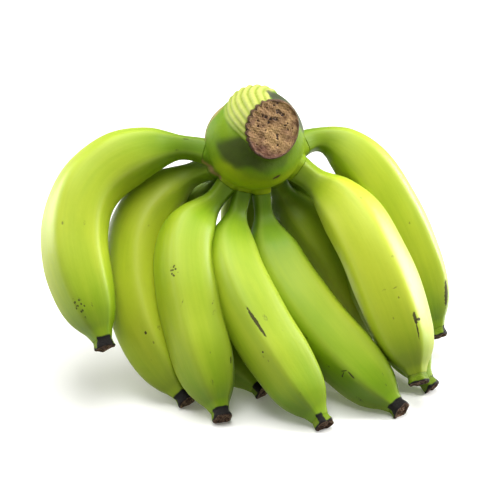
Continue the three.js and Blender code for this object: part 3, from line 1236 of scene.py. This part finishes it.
@dataclass(frozen=True)
class Crown:
    """The crown: the ball with its stub, and the stalks that the necks go on from, grown into one skin.

    Args:
        fingers: the fingers that grow from it.
        stub: the ball and its stub.
        pattern: where its colours lie.
        voxel: how finely its parts are melted together.
    """

    fingers: tuple[Finger, ...]
    stub: Stub = Stub()
    pattern: CrownPattern = CrownPattern()
    voxel: float = 0.0007

    def stalk(self, finger: Finger) -> bpy.types.Object:
        """Makes the stalk inside the crown that a finger's neck goes on from.

        It has the neck's own section, and widens by 15% toward the middle of the crown.

        Args:
            finger: the finger.

        Returns:
            The stalk, in the hand's own frame.
        """
        rings, sides = 12, 40
        at = np.linspace(-PEDICEL_LENGTH, 0.0, rings)
        flare = 1.0 + 0.15 * np.linspace(1.0, 0.0, rings)
        angles = np.linspace(0.0, 2.0 * np.pi, sides, endpoint=False)
        reach = ridged(np.broadcast_to(angles, (rings, sides)), 5.0)
        radius = GIRTH[0][1] * MM * finger.neck
        return closed_skin("stalk", finger.skin(at, flare * radius, angles, reach))

    def build(self) -> bpy.types.Object:
        """Melts the ball and the stalks into one skin, with what its material reads.

        Returns:
            The crown.
        """
        ball = closed_skin("crown_ball", self.stub.skin(spline_through(CROWN_OUTLINE, 110) * MM))
        parts = [ball] + [self.stalk(finger) for finger in self.fingers]
        with bpy.context.temp_override(active_object=ball, selected_editable_objects=parts):
            bpy.ops.object.join()
        melt = ball.modifiers.new("melt", "REMESH")
        melt.mode, melt.voxel_size, melt.use_smooth_shade = "VOXEL", self.voxel, True
        ease = ball.modifiers.new("ease", "SMOOTH")
        ease.factor, ease.iterations = 0.5, 2
        graph = bpy.context.evaluated_depsgraph_get()
        mesh = bpy.data.meshes.new_from_object(ball.evaluated_get(graph))
        piece = bpy.data.objects.new("crown_flesh", mesh)
        bpy.context.scene.collection.objects.link(piece)
        bpy.data.objects.remove(ball)
        places = np.empty(len(mesh.vertices) * 3)
        mesh.vertices.foreach_get("co", places)
        places = places.reshape(-1, 3)
        self.paint(piece, places)
        mesh.vertices.foreach_set("co", (places + np.array(HAND)).ravel())
        mesh.update()
        return piece

    def paint(self, piece: bpy.types.Object, places: np.ndarray) -> None:
        """Stores where the flutes, the painted shade in the hollow, the corky line and the stains are.

        Args:
            piece: the crown's skin.
            places: its vertices, in the hand's own frame.
        """
        clock, height = self.stub.read(places)
        begin, stop = self.stub.edges(height)
        inside = ((clock - begin) % 360.0) / (stop - begin)
        within = np.where(inside <= 1.0, inside, 0.0)
        uneven = ripple(places, RANDOM_SEED, 0.012) * 0.0014
        fine = ripple(places, RANDOM_SEED + 1, 0.004) * 0.0006
        before = (begin - clock + self.pattern.stain_line + uneven * 4000.0) % 360.0
        values = {
            "flute": self.pattern.flute(within, height + uneven + fine),
            "valley": (1.0 - np.abs(np.sin(np.pi * self.stub.flutes * within))) ** 1.5 * 1.2,
            "hollow_shade": self.pattern.hollow_shade(clock, height, uneven) * (inside > 1.0),
            "lit": self.pattern.lit(clock, height),
            "cork": self.pattern.cork(clock, height, uneven),
            "stain": self.pattern.stain(before, height + uneven),
            "dark": self.pattern.dark(clock, height, height - self.stub.top[1] + fine * 0.6),
        }
        for name, value in values.items():
            give(piece, name, value)

    def dress(self, finish: CrownFinish) -> bpy.types.Object:
        """Builds the crown, gives it its finish, and hands it over in place of its solid.

        Args:
            finish: the crown's skin.

        Returns:
            The finished crown.
        """
        piece = self.build()
        piece.data.materials.clear()
        piece.data.materials.append(finish.build())
        stands_for(piece, "crown")
        return piece


@dataclass(frozen=True)
class CutFinish:
    """The dried cut of the stub: tan pith with dark strands, and a darker, redder rim.

    Args:
        tan: the pith.
        brown: its darker patches and grain.
        dark: the strands.
        red: the lower left.
        rim: the edge.
    """

    tan: Colour = srgb(210, 170, 112)
    brown: Colour = srgb(134, 98, 66)
    dark: Colour = srgb(48, 28, 22)
    red: Colour = srgb(116, 72, 58)
    rim: Colour = srgb(70, 46, 32)

    def build(self) -> bpy.types.Material:
        """Makes the material.

        Returns:
            The material.
        """
        shader = Shader("cut_callus")
        place = shader.place()
        edge, strand = shader.stored("edge"), shader.stored("strand")
        patch = shader.noise(place, 150.0, 3.0, 0.6)
        grain = shader.noise(place, 900.0, 4.0, 0.7)
        colour = shader.mix(patch.rise(0.3, 0.7) * 0.7 + shader.stored("core") * 0.6, self.brown, self.tan)
        colour = shader.mix(grain.rise(0.5, 0.75) * 0.55, colour, self.brown)
        colour = shader.mix(shader.stored("lower") * (0.5 + grain * 0.6), colour, self.red)
        colour = shader.mix(strand * grain.rise(0.25, 0.5), colour, self.dark)
        colour = shader.mix(edge * (0.5 + patch * 0.6), colour, self.rim)
        return shader.finish(
            Base_Color=colour,
            Roughness=0.8 + grain * 0.15,
            Normal=shader.bump(grain * 0.5 - strand * 0.5, 0.0012, 0.9),
        )


# The larger dark strands in the cut, in millimetres from its middle, rightward and upward, and their size.
STRANDS = (
    (4.0, 11.0, 1.7),
    (7.4, 8.3, 1.4),
    (5.8, 9.6, 1.0),
    (-5.2, 8.6, 1.1),
    (-1.5, 6.9, 1.3),
    (2.5, 6.2, 1.6),
    (-3.0, 4.7, 1.0),
    (0.5, 6.8, 1.0),
    (-7.5, 9.7, 0.8),
    (-10.7, 7.1, 0.8),
    (-11.2, 3.7, 0.8),
    (-7.6, 3.2, 0.6),
    (-5.6, 0.3, 0.7),
    (10.4, 2.3, 0.6),
    (8.6, 1.1, 0.9),
    (10.6, -1.8, 0.8),
    (14.0, -1.6, 0.5),
    (2.7, -4.6, 1.2),
    (2.3, -6.4, 1.0),
    (2.7, -10.9, 0.9),
    (-5.8, -5.4, 0.5),
    (-12.5, -8.0, 0.6),
    (1.2, 15.2, 0.8),
    (3.8, 16.0, 0.9),
    (-3.7, 14.3, 0.5),
    (11.1, 10.6, 0.5),
)

# The cut's outline: the radius as a share of the stub's, and the height over the stub's end.
CUT_OUTLINE = (
    (0.975, 0.0001),
    (1.0, 0.0006),
    (1.005, 0.0012),
    (0.985, 0.0017),
    (0.95, 0.0018),
    (0.88, 0.0013),
    (0.7, 0.0012),
    (0.5, 0.0013),
    (0.25, 0.0011),
    (0.01, 0.0012),
)
CORE = np.array([0.0, -0.005])  # the middle of the paler pith, rightward and upward from the cut's
LOWER_LEFT = np.array([-0.5, -0.87])  # the way to the redder edge
STRAND_SEED = 4  # the ripples that bend the strands' edges
STAIN_SEED = 6  # those that bend the edges of the colours
GRIT_SEED = 9  # the fine ones over the face


@dataclass(frozen=True)
class CutFace:
    """The dried brown cut over the end of the stub.

    Args:
        stub: the stub that it closes.
        rings: how many rings it has.
    """

    stub: Stub = Stub()
    rings: int = 90

    def build(self) -> bpy.types.Object:
        """Makes the face, as rings up its edge and then inward over it.

        Each ring is the stub's last one drawn in to the outline's share of its radius, and raised by the
        outline's height, with ripples over it and a pit at each strand.

        Returns:
            The face.
        """
        outline = spline_through(CUT_OUTLINE, self.rings)
        edge = self.stub.skin(np.array([self.stub.top]))[0]
        middle = STUB.centre + STUB.axes[2] * self.stub.top[1]
        rings = middle + (edge - middle) * outline[:, :1, None]
        flat = (rings - middle) @ CUT.axes[:2].T
        strand = np.zeros(flat.shape[:2])
        bent = 0.3 * ripple(rings, STRAND_SEED, 0.0016)
        for right, up, size in STRANDS:
            spread = np.linalg.norm(flat - np.array([right, up]) * MM, axis=-1) / (size * MM)
            strand = np.maximum(strand, smoothstep(1.15, 0.55, spread + bent))
        inner = smoothstep(1.0, 0.93, outline[:, :1])
        bumps = 0.00035 * ripple(rings, RANDOM_SEED + 5, 0.006)
        bumps = bumps + 0.00018 * ripple(rings, GRIT_SEED, 0.0018)
        lift = outline[:, 1:] + bumps * inner - 0.0004 * strand
        piece = closed_skin("cut_callus", rings + lift[..., None] * CUT.axes[2] + np.array(HAND))
        share = np.broadcast_to(outline[:, :1], strand.shape)
        uneven = 0.05 * ripple(rings, STAIN_SEED, 0.008)
        fall = (flat @ LOWER_LEFT) / self.stub.top[0]
        from_core = np.linalg.norm(flat - CORE, axis=-1) / self.stub.top[0]
        values = {
            "edge": smoothstep(0.9, 0.985, share + uneven * 0.5),
            "strand": strand,
            "lower": smoothstep(0.5, 0.78, fall + uneven * 2.0),
            "core": smoothstep(0.55, 0.0, from_core),
        }
        for name, value in values.items():
            give(piece, name, np.concatenate([value.ravel(), [1.0 * (name == "edge"), 0.0]]))
        return piece

    def dress(self, finish: CutFinish) -> bpy.types.Object:
        """Builds the face, gives it its finish, and hands it over in place of its solid.

        Args:
            finish: the dried cut.

        Returns:
            The finished face.
        """
        piece = self.build()
        piece.data.materials.append(finish.build())
        stands_for(piece, "crown_cut")
        return piece


SCAR, SPECKS, SCUFF = MarkKind.SCAR, MarkKind.SPECKS, MarkKind.SCUFF
FINGERS = (
    Finger(
        1, Row.FRONT, (188, -0.006), (160, -10), (-0.108, -0.003, 0.118), (-0.090, -0.060, 0.042), (24, 50),
        ridge=-26,
        marks=(
            Mark(SPECKS, 0.893, 292, 0.011, 0.009),
            Mark(SCUFF, 0.895, 267, 0.003, 0.0015),
            Mark(SCAR, 0.069, 291, 0.003, 0.0014),
            Mark(SCUFF, 0.099, 237, 0.003, 0.002),
            Mark(SCUFF, 0.613, 249, 0.003, 0.0015),
        ),
        char=(256, 50),
    ),
    Finger(
        2, Row.FRONT, (234, -0.006), (232, -10), (-0.041, -0.021, 0.079), (-0.017, -0.081, 0.0036), (17, 32),
        girth=0.95, neck=0.85, ridge=3,
        marks=(
            Mark(SPECKS, 0.462, 254, 0.008, 0.006),
            Mark(SCAR, 0.832, 184, 0.006, 0.0014, 8),
            Mark(SCUFF, 0.597, 194, 0.004, 0.0012, 40),
            Mark(SCUFF, 0.636, 196, 0.004, 0.0012, 40),
            Mark(SCUFF, 0.58, 250, 0.005, 0.0009, 30),
            Mark(SCUFF, 0.9, 236, 0.004, 0.003),
        ),
        char=(230, 62),
    ),
    Finger(
        3, Row.FRONT, (253, -0.006), (256, -5), (-0.004, -0.031, 0.067), (0.046, -0.089, 0.0035), (31, 28),
        girth=0.95, neck=0.78, ridge=-8,
        marks=(
            Mark(SCAR, 0.598, 238, 0.021, 0.0021, -3),
            Mark(SCUFF, 0.597, 220, 0.005, 0.0025),
            Mark(SCAR, 0.697, 256, 0.0014, 0.0014),
            Mark(SCUFF, 0.901, 242, 0.002, 0.002),
        ),
        char=(232, 20), ripe_and_painted_light=-0.35,
    ),
    Finger(
        4, Row.FRONT, (275, -0.006), (275, -15), (0.033, -0.020, 0.056), (0.095, -0.072, 0.0046), (42, 19),
        girth=0.98, neck=0.76, ridge=-12,
        marks=(
            Mark(SCAR, 0.795, 252, 0.0050, 0.0008, 80),
            Mark(SCAR, 0.820, 241, 0.0070, 0.0011, 6),
            Mark(SCAR, 0.790, 245, 0.0046, 0.0009, -53),
            Mark(SCAR, 0.798, 258, 0.0012, 0.0012),
            Mark(SCUFF, 0.605, 254, 0.005, 0.0025),
            Mark(SCUFF, 0.734, 264, 0.003, 0.002),
            Mark(SCUFF, 0.898, 286, 0.007, 0.003, 20),
            Mark(SCUFF, 0.898, 190, 0.002, 0.002),
        ),
        char=(190, 85), ripe_and_painted_light=-0.35,
    ),
    Finger(
        5, Row.FRONT, (325, -0.004), (322, 0), (0.076, -0.011, 0.091), (0.106, -0.061, 0.018), (18, 48),
        neck=1.1, ridge=-15,
        marks=(
            Mark(SCAR, 0.797, 96, 0.009, 0.0022, 2),
            Mark(SCAR, 0.842, 97, 0.013, 0.0011, 2),
            Mark(SCAR, 0.803, 89, 0.002, 0.0036),
            Mark(SCUFF, 0.704, 111, 0.002, 0.0014),
            Mark(SCUFF, 0.664, 109, 0.0012, 0.004),
            Mark(SCUFF, 0.657, 131, 0.0012, 0.003),
            Mark(SCUFF, 0.555, 95, 0.002, 0.0016),
            Mark(SCUFF, 0.307, 91, 0.002, 0.002),
        ),
        char=(300, 10), ripe_and_painted_light=0.4,
    ),
    Finger(
        1, Row.BACK, (208, -0.012), (192, -33), (-0.0745, 0.001, 0.0765), (-0.039, -0.059, 0.0041), (43, 30),
        ridge=-16,
        marks=(
            Mark(SCAR, 0.769, 248, 0.002, 0.0016),
            Mark(SCUFF, 0.769, 222, 0.003, 0.002),
            Mark(SPECKS, 0.6, 80, 0.009, 0.006),
        ),
        char=(200, 110), ripe_and_painted_light=0.15,
    ),
    Finger(
        2, Row.BACK, (224, -0.024), (225, -35), (-0.040, 0.018, 0.060), (0.009, -0.046, 0.0041), (45, 20),
        girth=0.9, neck=0.9,
        marks=(Mark(SCAR, 0.5, 20, 0.016, 0.002, 6), Mark(SPECKS, 0.7, 60, 0.008, 0.008)),
        char=(180, 90),
    ),
    Finger(
        3, Row.BACK, (262, -0.026), (262, -70), (-0.002, 0.064, 0.066), (-0.008, 0.034, 0.0016), (10, 62),
        girth=0.95, neck=0.9,
        marks=(
            Mark(SCAR, 0.55, 350, 0.014, 0.0026, -5),
            Mark(SPECKS, 0.72, 20, 0.010, 0.008),
            Mark(SCUFF, 0.4, 30, 0.003, 0.002),
        ),
        char=(30, 60),
    ),
    Finger(
        4, Row.BACK, (300, -0.018), (300, -45), (0.050, 0.038, 0.068), (0.080, 0.022, 0.0021), (20, 55),
        girth=0.92, neck=0.9,
        marks=(Mark(SPECKS, 0.45, 10, 0.010, 0.006), Mark(SCUFF, 0.66, 340, 0.006, 0.002)),
        char=(60, 80),
    ),
    Finger(
        5, Row.BACK, (328, -0.024), (318, -45), (0.084, 0.022, 0.052), (0.118, -0.039, 0.0032), (48, 32),
        girth=0.88, neck=0.9,
        marks=(Mark(SCAR, 0.62, 40, 0.012, 0.002, 4), Mark(SCUFF, 0.4, 70, 0.003, 0.002)),
        char=(90, 30),
    ),
    Finger(
        6, Row.BACK, (355, -0.012), (26, -20), (0.094, 0.033, 0.101), (0.127, 0.007, 0.018), (22, 48),
        girth=0.95, ridge=36,
        marks=(
            Mark(SCAR, 0.868, 72, 0.0185, 0.0042, 4),
            Mark(SCUFF, 0.555, 102, 0.002, 0.002),
            Mark(SPECKS, 0.5, 330, 0.010, 0.006),
        ),
        char=(40, 30),
    ),
)


@dataclass(frozen=True)
class Lamp:
    """A soft rectangular light that points at the hand.

    Args:
        name: the light's name.
        place: where it stands.
        size: its width and height.
        power: its strength in watts.
        gloss_only: whether it shows in the sheen alone and lights nothing else.
    """

    name: str
    place: Triple
    size: Pair
    power: float
    gloss_only: bool = False

    def hang(self, target: Vector) -> None:
        """Adds the light to the scene.

        Args:
            target: where it points.
        """
        data = bpy.data.lights.new(self.name, "AREA")
        data.shape = "RECTANGLE"
        data.size, data.size_y = self.size
        data.energy = self.power
        lamp = bpy.data.objects.new(self.name, data)
        lamp.location = self.place
        lamp.visible_diffuse = not self.gloss_only
        lamp.rotation_euler = (target - Vector(self.place)).to_track_quat("-Z", "Y").to_euler()
        bpy.context.scene.collection.objects.link(lamp)


@dataclass(frozen=True)
class Studio:
    """The pale floor, the soft lights and the camera at the photograph's angle.

    Args:
        target: where the camera and the lights point.
        elevation: degrees of the camera above the horizontal.
        distance: from the camera to the target.
        lens: its focal length in millimetres.
        sensor: its sensor's width in millimetres.
        floor_reach: half of the floor's width.
        paper: the floor's colour.
        near_glow: the light that the floor gives off near the hand.
        far_glow: the same far from it.
        glow_from: the distances from the hand between which the one turns into the other.
        sky_light: the strength of the light from all round.
        lamps: the lights.
    """

    target: Vector = field(default_factory=lambda: HAND + Vector((0.0, 0.0, 0.0838)))
    elevation: float = 22.0
    distance: float = 0.903
    lens: float = 100.0
    sensor: float = 36.0
    floor_reach: float = 4.0
    paper: Colour = (0.94, 0.935, 0.91)
    near_glow: Colour = (0.095, 0.095, 0.085)
    far_glow: Colour = (0.7, 0.7, 0.7)
    glow_from: Pair = (0.3, 0.8)
    sky_light: float = 0.22
    lamps: tuple[Lamp, ...] = (
        Lamp("key", (-0.1, -0.5, 1.45), (0.8, 0.6), 8.0),
        Lamp("left_rim", (-0.95, 0.0, 0.6), (0.5, 0.9), 7.0),
        Lamp("right_rim", (0.95, 0.1, 0.7), (0.4, 0.8), 14.0),
        Lamp("top", (0.0, 0.2, 1.45), (0.9, 0.9), 15.0),
        Lamp("left_gloss", (-1.1, 0.6, 0.3), (0.5, 0.9), 16.0, gloss_only=True),
        Lamp("right_gloss", (1.1, 0.6, 0.3), (0.5, 0.9), 30.0, gloss_only=True),
    )

    def floor(self) -> None:
        """Lays the floor."""
        side = self.floor_reach
        square = np.array([(-side, -side, 0.0), (side, -side, 0.0), (side, side, 0.0), (-side, side, 0.0)])
        floor = mesh_object("floor", square, np.array([[0, 1, 2, 3]]), smooth=False)
        shader = Shader("floor_paper")
        far = shader.length(shader.place()).rise(*self.glow_from)
        glow = shader.mix(far, self.near_glow, self.far_glow)
        paper = shader.finish(
            Base_Color=self.paper, Roughness=0.6, Emission_Color=glow, Emission_Strength=1.0
        )
        floor.data.materials.append(paper)
        floor.visible_diffuse = False  # the undersides stay as deep a green as in the photograph

    def sky(self) -> None:
        """Fills the studio with soft white light."""
        world = bpy.data.worlds.new("studio")
        world.use_nodes = True
        light = world.node_tree.nodes["Background"]
        light.inputs["Color"].default_value = (1.0, 1.0, 1.0, 1.0)
        light.inputs["Strength"].default_value = self.sky_light
        bpy.context.scene.world = world
        bpy.context.scene.view_settings.view_transform = "Standard"

    def camera(self) -> None:
        """Puts up the camera."""
        data = bpy.data.cameras.new("camera")
        data.lens, data.sensor_width = self.lens, self.sensor
        data.clip_start, data.clip_end = 0.01, 20.0
        camera = bpy.data.objects.new("camera", data)
        back = Vector(pointing(0.0, self.elevation))
        camera.location = self.target + back * self.distance
        camera.rotation_euler = (-back).to_track_quat("-Z", "Y").to_euler()
        bpy.context.scene.collection.objects.link(camera)
        bpy.context.scene.camera = camera

    def set_up(self) -> None:
        """Builds the whole studio."""
        self.floor()
        self.sky()
        self.camera()
        for lamp in self.lamps:
            lamp.hang(self.target)


def main() -> None:
    """Loads the frame, dresses every solid of the hand, and sets up the studio."""
    logging.basicConfig(level=logging.INFO, format="%(name)s: %(message)s")
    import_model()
    Studio().set_up()
    pieces = [Crown(FINGERS).dress(CrownFinish()), CutFace().dress(CutFinish())]
    dried = DriedFinish().build()
    for finger in FINGERS:
        pieces.append(finger.dress(PeelFinish()))
        pieces.append(BlossomEnd(finger).dress(dried))
    for piece in pieces:
        log.info("%s: %d faces", piece.name, len(piece.data.polygons))


if __name__ == "__main__":
    main()
